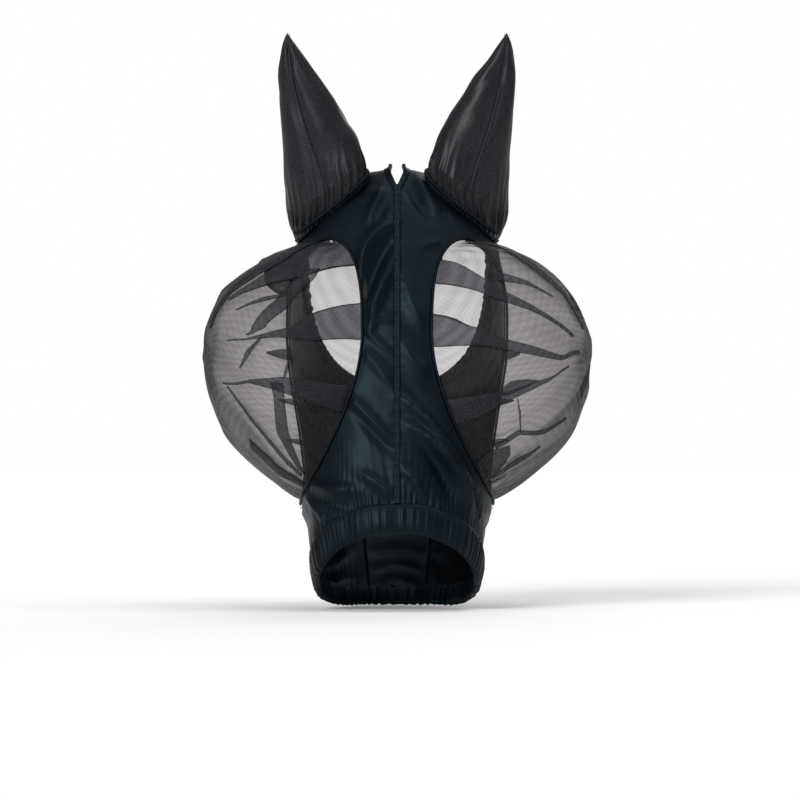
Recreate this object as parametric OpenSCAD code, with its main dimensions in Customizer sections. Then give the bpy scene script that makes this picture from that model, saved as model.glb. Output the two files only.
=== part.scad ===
// Pull-on stretch fly mask for a horse, as it sits when worn.
// Two-way stretch panels wrap the face, cheeks, jaw and poll. Gathered mesh domes stand off the
// eyes, mesh covers take the ears, and elastic runs inside the nose hem and the neck hem.
// Millimetres. +Z up, -Y is the way the horse faces, left and right are -X and +X.
// The origin is the middle of the nose opening, level with the chin end of the hem.

/* [Nose and neck openings] */
// Width of the nose opening
nose_width = 158; // [150:1:166]
// Depth of the nose opening, front to chin
nose_depth = 150; // [144:1:156]
// How far the front of the nose hem arches up above the origin
hem_arch = 70; // [60:1:76]
// How far the sides of the nose hem drop below a straight cut
hem_sag = 20; // [12:1:24]
// Width of the neck opening behind the ears
neck_width = 184; // [176:1:192]

/* [Head shape] */
// Height of the crown above the origin
crown_height = 432; // [424:1:440]
// Distance from the middle of the nose opening back to the jowl
jowl_reach = 250; // [240:1:260]
// Widest part of the cheeks, between the sides
cheek_width = 218; // [210:1:226]
// Squareness of the cross-section, 2 is an ellipse
squareness = 2.4; // [2.2:0.1:2.6]
// How far the neck hem drops behind the crown
poll_drop = 10; // [6:1:12]
// How far the poll dips behind the forelock slit
poll_dip = 15; // [10:1:16]

/* [Eye domes] */
// How far each mesh dome stands out from the cheek
dome_bulge = 96; // [84:1:100]
// Half the angle that an eye opening takes round the head
eye_span = 53; // [48:1:55]
// How far round from the centre seam the middle of the eye opening is
eye_angle = 68; // [66:1:70]

/* [Ears] */
// Height of the ear tips above the origin
ear_tip_height = 568; // [555:1:580]
// Distance of an ear tip from the centre seam
ear_tip_reach = 110; // [104:1:116]

/* [Cloth] */
// Thickness of the stretch cloth
cloth = 1.2; // [1:0.1:1.4]
// Thickness of the mesh
net = 0.8; // [0.7:0.1:1]
// Gap left between pieces that are sewn edge to edge
seam_gap = 0.6; // [0.5:0.1:0.8]
// Width of the elastic in the hems
elastic_width = 20; // [18:1:22]
// Half the width of the open forelock slit
slit_half_width = 7; // [5:1:9]

/* [Hidden] */

navy = "#16202a";
black = "#14151a";
smoke = "#3a3a40";

// Places along the mask, from 0 at the nose hem to 1 at the neck hem.
nose_casing_end = 0.06;
eye_low = 0.168;
eye_mid = 0.40;
eye_high = 0.65;
slit_start = 0.75;
ear_mid = 0.79;
dip_start = 0.83;
drop_start = 0.86;
poll_start = 0.89;
neck_casing_start = 0.94;

// Half the gap between panels and between casings and panels, as an angle round and as a place along.
gap_angle = seam_gap / 2.8;
gap_place = seam_gap / 100;

// Angles round the mask, from 0 at the face to 180 at the jaw.
ear_angle = 40;
ear_span = 29;
ear_reach = 0.095;
jaw_angle = 164;

round_power = 2 / squareness;
widest_at = 0.42;
dip_half_width = 20;

// Side view of the face line and the jaw line, and the half width between them, as cubic curves.
face_line = [
    [-nose_depth / 2, hem_arch],
    [-nose_depth / 2 + 30, hem_arch + 150],
    [2, crown_height + 43],
    [122, crown_height - 4]
];
jaw_line = [
    [nose_depth / 2, -5],
    [nose_depth / 2 + 90, 85],
    [jowl_reach + 10, 135],
    [jowl_reach - 3, 216]
];
width_line = [nose_width / 2, cheek_width / 2 + 3, cheek_width / 2 + 15, neck_width / 2];

function bezier(p, t) =
    p[0] * pow(1 - t, 3) + 3 * p[1] * t * pow(1 - t, 2) + 3 * p[2] * t * t * (1 - t) + p[3] * pow(t, 3);
function unit(v) = v / norm(v);
function signed_power(x, p) = sign(x) * pow(abs(x), p);
function span(a, b, n) = [for (i = [0:n]) a + (b - a) * i / n];
function smooth(x) = let (k = min(1, max(0, x))) k * k * (3 - 2 * k);

// How far the poll lies below a level crown at t, at a distance x from the centre seam.
function poll_fall(t, x) =
    poll_drop * smooth((t - drop_start) / (1 - drop_start))
    + poll_dip * smooth((t - dip_start) / (poll_start - dip_start)) * exp(-pow(x / dip_half_width, 2));

// A point on the inside of the cloth: t runs from the nose to the neck, a is the angle round.
function skin(t, a) =
    let (
        f = bezier(face_line, t),
        j = bezier(jaw_line, t),
        c = f + widest_at * (j - f),
        k = signed_power(cos(a), round_power),
        d = k > 0 ? f - c : c - j,
        x = bezier(width_line, t) * signed_power(sin(a), round_power),
        sag = hem_sag * pow(1 - min(1, max(0, t)), 3) * pow(sin(a), 2),
        fall = poll_fall(t, x) * max(0, k)
    )
    [x, c.x + d.x * k, c.y + d.y * k - sag - fall];

// Outward normal of the skin.
function skin_normal(t, a) =
    unit(cross(skin(t, a + 2) - skin(t, a - 2), skin(t + 0.01, a) - skin(t - 0.01, a)));

function off_skin(t, a, lift) = skin(t, a) + lift * skin_normal(t, a);

// The angle round the mask at t that lies a distance x from the centre seam.
function angle_at(t, x) = asin(pow(x / bezier(width_line, t), 1 / round_power));

// Triangles of a grid of points, rows by cols, numbered from first. A flipped grid faces the other way.
function grid_faces(rows, cols, first = 0, wrap = false, flip = false) = [
    for (r = [0:rows - 2], c = [0:cols - (wrap ? 1 : 2)])
        let (
            n = (c + 1) % cols,
            here = first + r * cols,
            next = here + cols,
            q = [here + c, next + c, next + n, here + n],
            s = flip ? [q[3], q[2], q[1], q[0]] : q
        )
        each [[s[0], s[1], s[2]], [s[0], s[2], s[3]]]
];

// A sheet of cloth: an outer grid of points and an inner one, closed along its four edges.
module sheet(outer, inner) {
    rows = len(outer);
    cols = len(outer[0]);
    n = rows * cols;
    left = [for (r = [0:rows - 1]) r * cols];
    right = [for (r = [0:rows - 1]) r * cols + cols - 1];
    low = [for (c = [0:cols - 1]) c];
    high = [for (c = [0:cols - 1]) n - cols + c];
    function edge(e, flip) = [
        for (i = [0:len(e) - 2])
            let (q = [e[i], e[i + 1], e[i + 1] + n, e[i] + n], s = flip ? [q[3], q[2], q[1], q[0]] : q)
            each [[s[0], s[1], s[2]], [s[0], s[2], s[3]]]
    ];
    polyhedron(
        points = concat([for (r = outer) each r], [for (r = inner) each r]),
        faces = concat(
            grid_faces(rows, cols), grid_faces(rows, cols, n, flip = true),
            edge(left, true), edge(right, false), edge(low, false), edge(high, true)
        )
    );
}

// A closed loop of cloth or cord: each row is one line of points round the loop, and the rows close up.
module loop(rows) {
    cols = len(rows[0]);
    polyhedron(
        points = [for (r = rows) each r],
        faces = [for (f = grid_faces(len(rows) + 1, cols, wrap = true)) [for (i = f) i % (len(rows) * cols)]]
    );
}

// A disc of cloth: rings of points from the middle to the rim, with an outer and an inner face.
module disc(outer, inner) {
    rings = len(outer);
    cols = len(outer[0]);
    n = rings * cols;
    rim = [for (c = [0:cols - 1]) n - cols + c];
    polyhedron(
        points = concat([for (r = outer) each r], [for (r = inner) each r]),
        faces = concat(
            grid_faces(rings, cols, wrap = true),
            grid_faces(rings, cols, n, wrap = true, flip = true),
            [for (c = [1:cols - 2]) [0, c, c + 1]],
            [for (c = [1:cols - 2]) [n + c + 1, n + c, n]],
            [for (c = [0:cols - 1])
                let (a = rim[c], b = rim[(c + 1) % cols])
                each [[a, a + n, b + n], [a, b + n, b]]]
        )
    );
}

// A rectangular piece of the skin between two lifts.
module skin_sheet(t0, t1, a0, a1, nt, na, low, high) {
    sheet(
        [for (t = span(t0, t1, nt)) [for (a = span(a0, a1, na)) off_skin(t, a, high)]],
        [for (t = span(t0, t1, nt)) [for (a = span(a0, a1, na)) off_skin(t, a, low)]]
    );
}

// Outline of the eye opening, as [t, a]. 0 is its face side and 90 its top.
// Its top is squarer than its foot.
function eye_edge(p, size = 1) =
    let (
        power = sin(p) > 0 ? 2 / 3 : 1,
        reach = sin(p) > 0 ? eye_high - eye_mid : eye_mid - eye_low
    )
    [
        eye_mid + size * reach * signed_power(sin(p), power),
        eye_angle - size * eye_span * signed_power(cos(p), power)
    ];

// Outline of the ear opening, as [t, a], going round the same way.
function ear_edge(p, size = 1) = [ear_mid + size * ear_reach * sin(p), ear_angle - size * ear_span * cos(p)];

turns = span(0, 350, 35);

// A point over one of the two outlines.
function off_edge(which, size, p, lift) =
    let (e = which == "eye" ? eye_edge(p, size) : ear_edge(p, size)) off_skin(e[0], e[1], lift);

// Takes the openings out of a panel.
// resize() with no size leaves the shape as it is and closes it as one mesh.
module cut_openings() {
    resize([0, 0, 0])
        difference() {
            children();
            opening_plug("eye");
            opening_plug("ear");
            forelock_plug();
        }
}

module opening_plug(which) {
    depth = 14;
    sizes = [0.1, 0.4, 0.7, 1];
    disc(
        [for (s = sizes) [for (p = turns) off_edge(which, s, p, depth)]],
        [for (s = sizes) [for (p = turns) off_edge(which, s, p, -depth)]]
    );
}

// Half the width of the forelock slit at t: it opens from a point and reaches full width part of the way up.
function slit_width(t) =
    let (k = 1.6 * (t - slit_start) / (poll_start - slit_start))
    slit_half_width * sin(90 * min(1, max(0, k)));

module forelock_plug() {
    edge = [for (t = span(slit_start, poll_start + gap_place, 6)) [slit_width(t), skin(t, 0).y]];
    past_centre = 12;
    tall = 120;
    translate([0, 0, crown_height - tall / 2])
        linear_extrude(tall)
            polygon(concat(edge, [for (e = backwards(edge)) [-past_centre, e.y]]));
}

// ---- Stretch cloth panels, drawn for the right side ----

panels_start = nose_casing_end + gap_place;
panels_end = neck_casing_start - gap_place;

module face_panel() {
    color(navy)
        cut_openings()
            skin_sheet(
                panels_start, poll_start - gap_place / 3, gap_angle, eye_angle - gap_angle, 24, 12, 0, cloth
            );
}

module cheek_panel() {
    color(navy)
        cut_openings()
            skin_sheet(
                panels_start, panels_end, eye_angle + gap_angle, jaw_angle - gap_angle, 22, 12, 0, cloth
            );
}

module jaw_panel() {
    first = jaw_angle + gap_angle;
    color(navy)
        skin_sheet(panels_start, panels_end, first, 360 - first, 16, 6, 0, cloth);
}

module poll_panel() {
    last = eye_angle - gap_angle;
    color(navy)
        skin_sheet(poll_start + gap_place / 3, panels_end, -last, last, 2, 20, 0, cloth);
}

// ---- Seams, drawn as the narrow tapes that cover them ----

tape = 0.6;
tape_lift = cloth + 0.5;

module centre_seam() {
    half = 3.5;
    places = span(panels_start, slit_start - gap_place, 22);
    function at(t, x, lift) = off_skin(t, 0, lift) + [x, 0, 0];
    color(black)
        sheet(
            [for (t = places) [at(t, -half, tape_lift + tape), at(t, half, tape_lift + tape)]],
            [for (t = places) [at(t, -half, tape_lift), at(t, half, tape_lift)]]
        );
}

module jaw_seam() {
    half = 1.5;
    color(black)
        skin_sheet(
            panels_start, panels_end, jaw_angle - half, jaw_angle + half, 16, 1, tape_lift, tape_lift + tape
        );
}

// ---- Hems: a folded casing with elastic inside ----

hem_turns = span(0, 352, 44);
hem_room = 1.8;
elastic = 1.5;

// Profile of a folded hem as [t, lift] pairs: down the outside, round the fold and up the inside.
function casing_profile(fold, open, bow) =
    let (outer = hem_room + cloth)
    [
        [open, outer], [fold, outer], [fold + bow, 0], [fold, -outer], [open, -outer],
        [open, -hem_room], [fold, -hem_room], [fold + bow / 3, 0], [fold, hem_room], [open, hem_room]
    ];

// A loop round the mask that follows a closed profile of [t, lift] pairs, given clockwise.
module hem_loop(profile) {
    color(black)
        loop([for (q = profile) [for (a = hem_turns) off_skin(q[0], a, q[1])]]);
}

function backwards(list) = [for (i = [len(list) - 1:-1:0]) list[i]];
function strip_profile(low, high) = let (h = elastic / 2) [[low, h], [high, h], [high, -h], [low, -h]];

hem_fold = 0.004;
elastic_edge = 0.009;
elastic_span = elastic_width / 460;

module nose_casing() { hem_loop(backwards(casing_profile(hem_fold, nose_casing_end, -0.006))); }
module nose_elastic() { hem_loop(strip_profile(elastic_edge, elastic_edge + elastic_span)); }
module neck_casing() { hem_loop(casing_profile(1 - hem_fold, neck_casing_start, 0.006)); }
module neck_elastic() { hem_loop(strip_profile(1 - elastic_edge - elastic_span, 1 - elastic_edge)); }

// ---- Eye domes, drawn for the right side ----

// The way a dome stands out, and how far at a size of the opening's outline.
dome_out = unit([1, -0.25, 0.17]);
dome_foot = 0.978;
function dome_height(size) = size < dome_foot ? dome_bulge * pow(1 - pow(size / dome_foot, 2), 0.62) : 0;

module eye_mesh() {
    under = -seam_gap - net;
    sizes = [0.08, 0.25, 0.42, 0.57, 0.70, 0.81, 0.885, 0.93, 0.96, dome_foot, 1.03];
    function at(size, p, lift) = off_edge("eye", size, p, under + lift) + dome_height(size) * dome_out;
    color(smoke)
        disc(
            [for (s = sizes) [for (p = turns) at(s, p, net / 2)]],
            [for (s = sizes) [for (p = turns) at(s, p, -net / 2)]]
        );
}

// A flat binding that follows an opening's edge, between two sizes of its outline.
module edge_binding(which, small, large, low, high) {
    profile = [[small, high], [large, high], [large, low], [small, low]];
    loop([for (q = profile) [for (p = turns) off_edge(which, q[0], p, q[1])]]);
}

module eye_binding() { color(black) edge_binding("eye", 0.985, 1.03, cloth + 1.4, cloth + 2.2); }
module ear_binding() { color(black) edge_binding("ear", 1.0, 1.11, cloth + 0.6, cloth + 2.6); }

// ---- Ear covers, drawn for the right side ----

// The inner and outer edges of an ear in the front view, from its base to its tip.
ear_inner = [
    [30, crown_height - 6], [37, crown_height + 40],
    [70, crown_height + 83], [ear_tip_reach, ear_tip_height]
];
ear_outer = [
    [104, crown_height - 70], [108, crown_height - 2],
    [130, crown_height + 108], [ear_tip_reach, ear_tip_height]
];
ear_depth = 25;
ear_forward = 8;
// Size of an ear base in its opening, across and along the head.
ear_base_wide = 0.80;
ear_base_deep = 0.62;
ear_base_at = ear_mid - 0.016;
// Shares of the way up an ear: where its base band starts and ends, and where its panels start.
band_start = 0.02;
band_end = 0.135;
ear_start = 0.145;

// A point on an ear cover: s runs from base to tip, and p is 0 outside, 90 in front and 180 inside.
// The base follows the opening in the skin. Above it every cross-section is a flat oval.
function ear(s, p) =
    let (
        i = bezier(ear_inner, s),
        o = bezier(ear_outer, s),
        m = (i + o) / 2,
        h = (o - i) / 2,
        base = skin(ear_mid, ear_angle),
        y = (base.y - ear_forward) * (1 - s) + 52 * s,
        twist = 16 * pow(1 - s, 1.5),
        d = ear_depth * pow(1 - s, 0.75),
        lean = 15 * pow(1 - s, 4),
        free = [m.x + h.x * cos(p), y + twist * cos(p) - d * sin(p), m.y + h.y * cos(p) - lean * sin(p)],
        sewn = off_skin(
            ear_base_at - ear_base_deep * ear_reach * sin(p),
            ear_angle + ear_base_wide * ear_span * cos(p),
            cloth + 1
        ),
        k = smooth(s / band_end)
    )
    sewn * (1 - k) + free * k;

function ear_normal(s, p) =
    unit(cross(ear(s, p - 3) - ear(s, p + 3), ear(min(1, s + 0.02), p) - ear(s - 0.02, p)));

module ear_sheet(s0, s1, p0, p1, ns, np, low, high) {
    sheet(
        [for (s = span(s0, s1, ns)) [for (p = span(p1, p0, np)) ear(s, p) + high * ear_normal(s, p)]],
        [for (s = span(s0, s1, ns)) [for (p = span(p1, p0, np)) ear(s, p) + low * ear_normal(s, p)]]
    );
}

ear_tip_end = 0.975;
ear_seam_at = 68;

module ear_front() { color(smoke) ear_sheet(ear_start, ear_tip_end, ear_seam_at + 1, 179, 12, 9, 0, net); }
module ear_back() { color(black) ear_sheet(ear_start, ear_tip_end, 181, 359 + ear_seam_at, 12, 15, 0, net); }
module ear_seam() {
    color(black)
        ear_sheet(ear_start, ear_tip_end, ear_seam_at - 4, ear_seam_at + 4, 12, 1, net + 0.4, net + 1);
}

module ear_band() {
    function at(s, p, lift) = let (c = (ear(s, 0) + ear(s, 180)) / 2, q = ear(s, p)) q + lift * unit(q - c);
    profile = [
        for (s = span(band_end, band_start, 3)) [s, cloth + net],
        for (s = span(band_start, band_end, 3)) [s, 0]
    ];
    color(black)
        loop([for (q = profile) [for (p = turns) at(q[0], p, q[1])]]);
}

// ---- Forelock slit: a raised lip along each side ----

module forelock_binding() {
    low = cloth + 1.7;
    tall = 7;
    places = span(slit_start + 0.004, poll_start - 0.004, 10);
    function at(t, x, lift) = off_skin(t, angle_at(t, slit_width(t) + x), lift);
    function lip(t) = low + 1 + (tall - 1) * sin(180 * (t - slit_start) / (poll_start - slit_start));
    color(black)
        sheet(
            [for (t = places) [at(t, 0.5, lip(t)), at(t, 1.7, lip(t))]],
            [for (t = places) [at(t, 0.5, low), at(t, 1.7, low)]]
        );
}

module on_left() { mirror([1, 0, 0]) children(); }

on_left() face_panel();  // face_panel_left
face_panel();  // face_panel_right
on_left() cheek_panel();  // cheek_panel_left
cheek_panel();  // cheek_panel_right
jaw_panel();
poll_panel();
centre_seam();
on_left() jaw_seam();  // jaw_seam_left
jaw_seam();  // jaw_seam_right
nose_casing();
nose_elastic();
neck_casing();
neck_elastic();
on_left() eye_mesh();  // eye_mesh_left
eye_mesh();  // eye_mesh_right
on_left() eye_binding();  // eye_binding_left
eye_binding();  // eye_binding_right
on_left() ear_front();  // ear_front_left
ear_front();  // ear_front_right
on_left() ear_back();  // ear_back_left
ear_back();  // ear_back_right
on_left() ear_seam();  // ear_seam_left
ear_seam();  // ear_seam_right
on_left() ear_band();  // ear_band_left
ear_band();  // ear_band_right
on_left() ear_binding();  // ear_binding_left
ear_binding();  // ear_binding_right
on_left() forelock_binding();  // forelock_binding_left
forelock_binding();  // forelock_binding_right
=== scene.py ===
"""Looks of the stretch fly mask: cloth panels, gathered eye nets, ear covers, hems, seams and stitching."""
import math

import bpy
import numpy as np
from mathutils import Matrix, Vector


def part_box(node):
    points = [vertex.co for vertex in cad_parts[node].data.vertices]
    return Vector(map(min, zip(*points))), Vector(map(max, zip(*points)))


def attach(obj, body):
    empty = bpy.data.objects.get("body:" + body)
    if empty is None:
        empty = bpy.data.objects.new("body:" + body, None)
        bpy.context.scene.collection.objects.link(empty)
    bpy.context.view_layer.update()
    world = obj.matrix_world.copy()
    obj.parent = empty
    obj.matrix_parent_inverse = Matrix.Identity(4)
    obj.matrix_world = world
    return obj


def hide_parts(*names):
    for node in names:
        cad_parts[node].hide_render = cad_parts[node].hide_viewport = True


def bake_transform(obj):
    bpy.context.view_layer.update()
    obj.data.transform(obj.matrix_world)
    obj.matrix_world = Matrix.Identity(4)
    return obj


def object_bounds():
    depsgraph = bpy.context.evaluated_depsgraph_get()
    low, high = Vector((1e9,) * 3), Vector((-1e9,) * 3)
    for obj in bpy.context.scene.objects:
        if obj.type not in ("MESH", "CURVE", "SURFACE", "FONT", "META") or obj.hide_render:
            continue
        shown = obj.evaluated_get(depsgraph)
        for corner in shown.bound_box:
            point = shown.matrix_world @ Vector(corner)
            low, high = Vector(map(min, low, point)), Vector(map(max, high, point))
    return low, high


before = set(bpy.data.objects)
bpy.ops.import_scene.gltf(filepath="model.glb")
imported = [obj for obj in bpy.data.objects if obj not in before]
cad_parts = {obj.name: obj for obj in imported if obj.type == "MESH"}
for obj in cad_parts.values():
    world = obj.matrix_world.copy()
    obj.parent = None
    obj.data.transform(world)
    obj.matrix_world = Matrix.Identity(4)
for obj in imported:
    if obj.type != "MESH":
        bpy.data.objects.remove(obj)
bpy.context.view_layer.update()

MM = 0.001
SIDES = {"left": -1, "right": 1}


# ---- Driving dimensions, in millimetres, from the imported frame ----

def node_box(node):
    low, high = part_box(node)
    return np.array(low) / MM, np.array(high) / MM


NOSE_LOW, NOSE_HIGH = node_box("nose_elastic")
NECK_HIGH = node_box("neck_elastic")[1]
CHEEK_HIGH = node_box("cheek_panel_right")[1]
EAR_HIGH = node_box("ear_back_right")[1]

NOSE_HALF_WIDTH = NOSE_HIGH[0] - 6
NOSE_HALF_DEPTH = -NOSE_LOW[1]
HEM_ARCH = NOSE_HIGH[2] - 25
HEM_SAG = 20
CROWN = node_box("face_panel_right")[1][2] + 2.9
JOWL = NECK_HIGH[1] + 1
CHEEK_HALF = CHEEK_HIGH[0] - 3
NECK_HALF = NECK_HIGH[0] - 5
CLOTH = 1.2

ROUND_POWER = 2 / 2.4
WIDEST = 0.42
FACE_LINE = [(-NOSE_HALF_DEPTH, HEM_ARCH), (30 - NOSE_HALF_DEPTH, HEM_ARCH + 150), (2, CROWN + 43),
             (122, CROWN - 4)]
JAW_LINE = [(NOSE_HALF_DEPTH, -5), (NOSE_HALF_DEPTH + 90, 85), (JOWL + 10, 135), (JOWL - 3, 216)]
WIDTH_LINE = [(NOSE_HALF_WIDTH,), (CHEEK_HALF + 3,), (CHEEK_HALF + 15,), (NECK_HALF,)]

# Places along the mask, 0 at the nose hem and 1 at the neck hem, and angles round it, 0 at the face.
NOSE_HEM_TOP = 0.06
EYE_BOTTOM, EYE_MID, EYE_TOP = 0.168, 0.40, 0.65
EYE_ANGLE, EYE_SPAN = 68, 53
SLIT_START, SLIT_END, SLIT_CORNER = 0.75, 0.89, 0.825
EAR_MID, EAR_REACH = 0.79, 0.095
EAR_ANGLE, EAR_SPAN = 40, 29
JAW_ANGLE = 164
NECK_HEM_TOP = 0.94
EAR_FOOT = 0.90
DROP_START, POLL_DROP = 0.86, 10
DIP_START, POLL_DIP, DIP_HALF_WIDTH = 0.83, 15, 20

# Millimetres of cloth from hem to hem, and for each degree round the mask.
FACE_LENGTH = 420.0
ROUND_MM = 2.05


# ---- The shape of the head under the cloth ----

def bezier(points, t):
    points = np.asarray(points, float)
    t = np.asarray(t, float)[..., None]
    return (points[0] * (1 - t) ** 3 + 3 * points[1] * t * (1 - t) ** 2
            + 3 * points[2] * t * t * (1 - t) + points[3] * t ** 3)


def signed_power(x, power):
    return np.sign(x) * np.abs(x) ** power


def unit(v):
    return v / np.maximum(np.linalg.norm(v, axis=-1, keepdims=True), 1e-9)


def smooth(x):
    k = np.clip(x, 0, 1)
    return k * k * (3 - 2 * k)


def turns_round(count):
    return np.linspace(0, 360, count, endpoint=False)


def poll_fall(t, x):
    """How far the poll lies below a level crown, most of all behind the forelock slit."""
    dip = POLL_DIP * smooth((t - DIP_START) / (SLIT_END - DIP_START)) * np.exp(-(x / DIP_HALF_WIDTH) ** 2)
    return POLL_DROP * smooth((t - DROP_START) / (1 - DROP_START)) + dip


def skin(t, a):
    """Points on the inside of the cloth on the right side, for places t and angles a in degrees."""
    t, a = np.broadcast_arrays(np.asarray(t, float), np.radians(np.asarray(a, float)))
    face = bezier(FACE_LINE, t)
    jaw = bezier(JAW_LINE, t)
    middle = face + WIDEST * (jaw - face)
    k = signed_power(np.cos(a), ROUND_POWER)[..., None]
    side_view = middle + np.where(k > 0, face - middle, middle - jaw) * k
    x = bezier(WIDTH_LINE, t)[..., 0] * signed_power(np.sin(a), ROUND_POWER)
    sag = HEM_SAG * (1 - np.clip(t, 0, 1)) ** 3 * np.sin(a) ** 2
    fall = sag + poll_fall(t, x) * np.maximum(k[..., 0], 0)
    return np.stack([x, side_view[..., 0], side_view[..., 1] - fall], -1)


def angle_at(t, x):
    """The angle round the mask at t that lies a distance x from the centre seam."""
    return np.degrees(np.arcsin((np.abs(x) / bezier(WIDTH_LINE, t)[..., 0]) ** (1 / ROUND_POWER)))


def skin_normal(t, a):
    t, a = np.asarray(t, float), np.asarray(a, float)
    return unit(np.cross(skin(t, a + 1.5) - skin(t, a - 1.5), skin(t + 0.005, a) - skin(t - 0.005, a)))


def off_skin(t, a, lift):
    return skin(t, a) + np.asarray(lift, float)[..., None] * skin_normal(t, a)


def eye_edge(p, size=1.0):
    """Outline of an eye opening as (t, a): p is 0 on its face side and 90 at its top."""
    p = np.radians(p)
    s, c = np.sin(p), np.cos(p)
    power = np.where(s > 0, 2 / 3, 1.0)
    reach = np.where(s > 0, EYE_TOP - EYE_MID, EYE_MID - EYE_BOTTOM)
    t = EYE_MID + size * reach * signed_power(s, power)
    return t, EYE_ANGLE - size * EYE_SPAN * signed_power(c, power)


def eye_size(t, a):
    """How far out a place is from the middle of the eye opening: 1 on its outline."""
    x = (EYE_ANGLE - a) / EYE_SPAN
    y = (t - EYE_MID) / np.where(t > EYE_MID, EYE_TOP - EYE_MID, EYE_MID - EYE_BOTTOM)
    n = np.where(y > 0, 3.0, 2.0)
    return (np.abs(x) ** n + np.abs(y) ** n) ** (1 / n)


def ear_edge(p, size=1.0):
    """Outline of an ear opening as (t, a): p is 0 on its outer side and 90 in front."""
    p = np.radians(p)
    return EAR_MID - size * EAR_REACH * np.sin(p), EAR_ANGLE + size * EAR_SPAN * np.cos(p)


def ear_size(t, a):
    """How far out a place is from the middle of the ear opening: 1 on its outline."""
    return np.hypot((a - EAR_ANGLE) / EAR_SPAN, (t - EAR_MID) / EAR_REACH)


def slit_width(t):
    """Half the width of the forelock slit."""
    return 7 * np.sin(np.radians(90 * np.clip(1.6 * (t - SLIT_START) / (SLIT_END - SLIT_START), 0, 1)))


# ---- Smooth seeded noise, for irregular cloth ----

def noise2(u, v, seed):
    """Smooth noise from -1 to 1 with a period of 64 cells."""
    grid = np.random.default_rng(seed).uniform(-1, 1, (64, 64))
    iu, iv = np.floor(u).astype(int), np.floor(v).astype(int)
    fu, fv = smooth(u - iu), smooth(v - iv)
    at = lambda i, j: grid[(iu + i) % 64, (iv + j) % 64]
    return (at(0, 0) * (1 - fu) + at(1, 0) * fu) * (1 - fv) + (at(0, 1) * (1 - fu) + at(1, 1) * fu) * fv


# ---- Meshes ----

def make_mesh(name, points, faces, uv=None, material=None, flip=False):
    """A shaded mesh object from points in millimetres. uv holds one pair a point."""
    mesh = bpy.data.meshes.new(name)
    faces = [tuple(reversed(f)) for f in faces] if flip else [tuple(f) for f in faces]
    mesh.from_pydata((np.asarray(points).reshape(-1, 3) * MM).tolist(), [], faces)
    mesh.validate()
    if uv is not None:
        layer = mesh.uv_layers.new(name="cloth")
        index = np.zeros(len(mesh.loops), int)
        mesh.loops.foreach_get("vertex_index", index)
        layer.data.foreach_set("uv", np.asarray(uv, float).reshape(-1, 2)[index].ravel())
    mesh.polygons.foreach_set("use_smooth", np.ones(len(mesh.polygons), bool))
    mesh.update()
    piece = bpy.data.objects.new(name, mesh)
    bpy.context.scene.collection.objects.link(piece)
    if material:
        mesh.materials.append(material)
    return piece


def grid_faces(rows, cols, wrap=False):
    r, c = np.meshgrid(np.arange(rows - 1), np.arange(cols if wrap else cols - 1), indexing="ij")
    n = (c + 1) % cols
    quads = np.stack([r * cols + c, (r + 1) * cols + c, (r + 1) * cols + n, r * cols + n], -1)
    return quads.reshape(-1, 4).tolist()


def add_thickness(piece, thickness):
    """Gives a sheet its cloth thickness in millimetres, outward."""
    solid = piece.modifiers.new("thickness", "SOLIDIFY")
    solid.thickness = thickness * MM
    solid.offset = 1.0
    solid.use_even_offset = False
    return piece


def tube(points, radius, sides, closed, up):
    """Points and faces of a round cord along a path; radius may vary along it."""
    points = np.asarray(points, float)
    count = len(points)
    if closed:
        along = unit(np.roll(points, -1, 0) - np.roll(points, 1, 0))
    else:
        along = unit(np.gradient(points, axis=0))
    across = unit(np.cross(along, up))
    up = np.cross(across, along)
    turn = np.linspace(0, 2 * math.pi, sides, endpoint=False)
    radius = np.broadcast_to(radius, (count,))
    ring = np.cos(turn)[None, :, None] * across[:, None] + np.sin(turn)[None, :, None] * up[:, None]
    verts = points[:, None] + ring * radius[:, None, None]
    faces = []
    for i in range(count if closed else count - 1):
        j = (i + 1) % count
        for k in range(sides):
            m = (k + 1) % sides
            faces.append((i * sides + k, i * sides + m, j * sides + m, j * sides + k))
    if not closed:
        faces.append(tuple(range(sides - 1, -1, -1)))
        faces.append(tuple((count - 1) * sides + k for k in range(sides)))
    return verts.reshape(-1, 3), faces


def merge(parts):
    """Joins (points, faces) parts into one."""
    points, faces, first = [], [], 0
    for p, f in parts:
        points.append(np.asarray(p).reshape(-1, 3))
        faces += [tuple(i + first for i in face) for face in f]
        first += len(points[-1])
    return np.concatenate(points), faces


def resample(path, normals, pitch):
    """Evenly spaced points along a path, with their normals."""
    path, normals = np.asarray(path, float), np.asarray(normals, float)
    lengths = np.concatenate([[0], np.cumsum(np.linalg.norm(np.diff(path, axis=0), axis=1))])
    count = max(2, int(lengths[-1] / pitch))
    wanted = np.linspace(0, lengths[-1], count)
    pick = lambda a: np.stack([np.interp(wanted, lengths, a[:, k]) for k in range(3)], -1)
    return pick(path), unit(pick(normals))


BAR_PROFILE = np.array([0.35, 0.9, 1.0, 0.9, 0.35])


def stitches(path, normals, pitch, length, radius, slant=0.0, side=0.0, lift=0.2, closed=False):
    """A row of thread stitches along a path: each is a small rounded bar bedded in the cloth."""
    if closed:
        path, normals = np.vstack([path, path[:1]]), np.vstack([normals, normals[:1]])
    points, ups = resample(path, normals, pitch)
    along = unit(np.gradient(points, axis=0))
    across = unit(np.cross(along, ups))
    parts = []
    for i in range(len(points)):
        lean = slant * (1 if i % 2 else -1)
        d = math.cos(lean) * along[i] + math.sin(lean) * across[i]
        c = points[i] + side * across[i] + lift * ups[i]
        bar = [c + d * length * k - ups[i] * 0.25 * (2 * k) ** 2 for k in (-0.5, -0.25, 0, 0.25, 0.5)]
        parts.append(tube(bar, BAR_PROFILE * radius, 6, False, np.tile(ups[i], (5, 1))))
    return merge(parts)


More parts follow.
